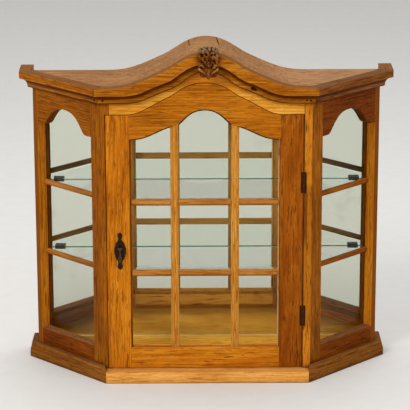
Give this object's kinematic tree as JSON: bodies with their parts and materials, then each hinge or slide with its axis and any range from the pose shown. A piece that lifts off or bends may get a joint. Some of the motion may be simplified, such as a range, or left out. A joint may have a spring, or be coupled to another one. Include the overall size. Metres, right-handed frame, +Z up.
{
  "type": "glazed display case",
  "caption": "Wooden glazed display case with splayed sides, a serpentine bonnet top, one hinged door and glass shelves.",
  "frame": {"origin": "middle of the base on the surface it stands on, at the middle of the case's overall width and depth", "axes": "+Z up, +X to the right of someone facing the door, -Y out of the door"},
  "size_m": [0.709, 0.223, 0.655],
  "materials": {
    "oak": "satin",
    "carved_oak": "satin",
    "board": "matt",
    "glass": "clear",
    "mirror": "polished",
    "bronze": "patinated",
    "hinge_metal": "dull",
    "clip": "matt",
    "catch": "matt"
  },
  "bodies": {
    "carcass": {"back_panel": "board", "base_board": "board", "base_rail_back": "board", "base_rail_front": "oak", "catch_magnet": "catch", "cornice_front": "oak", "cornice_left": "oak", "cornice_return_left": "oak", "cornice_return_right": "oak", "cornice_right": "oak", "crest_carving": "carved_oak", "frieze_rail": "oak", "hinge_leaf_post_lower": "hinge_metal", "hinge_leaf_post_upper": "hinge_metal", "hinge_pins": "hinge_metal", "hinge_screws_post": "hinge_metal", "mirror": "mirror", "plinth_front": "oak", "plinth_left": "oak", "plinth_return_left": "oak", "plinth_return_right": "oak", "plinth_right": "oak", "post_back_left": "oak", "post_back_right": "oak", "post_front_left": "oak", "post_front_right": "oak", "roof_board": "board", "shelf_clips": "clip", "shelf_lower": "glass", "shelf_pegs": "oak", "shelf_upper": "glass", "side_bar_lower_left": "oak", "side_bar_lower_right": "oak", "side_bar_upper_left": "oak", "side_bar_upper_right": "oak", "side_beads": "oak", "side_glass_left": "glass", "side_glass_right": "glass", "side_rail_bottom_left": "oak", "side_rail_bottom_right": "oak", "side_rail_top_left": "oak", "side_rail_top_right": "oak"},
    "door": {"catch_plate": "hinge_metal", "door_bar_left": "oak", "door_bar_right": "oak", "door_bars_lower": "oak", "door_bars_upper": "oak", "door_beads": "oak", "door_glass": "glass", "door_rail_bottom": "oak", "door_rail_top": "oak", "door_stile_left": "oak", "door_stile_right": "oak", "handle_pin": "bronze", "handle_plate": "bronze", "hinge_leaf_door_lower": "hinge_metal", "hinge_leaf_door_upper": "hinge_metal", "hinge_screws_door": "hinge_metal"},
    "handle_drop": {"handle_drop": "bronze"}
  },
  "joints": [
    {"name": "door_hinge", "type": "hinge", "parent": "carcass", "child": "door", "pos_m": [0.1801, -0.0749, 0.257], "axis": [0, 0, 1], "range_deg": [0, 110]},
    {"name": "handle_swing", "type": "hinge", "parent": "door", "child": "handle_drop", "pos_m": [-0.1633, -0.0799, 0.262], "axis": [-1, 0, 0], "range_deg": [0, 95]}
  ]
}
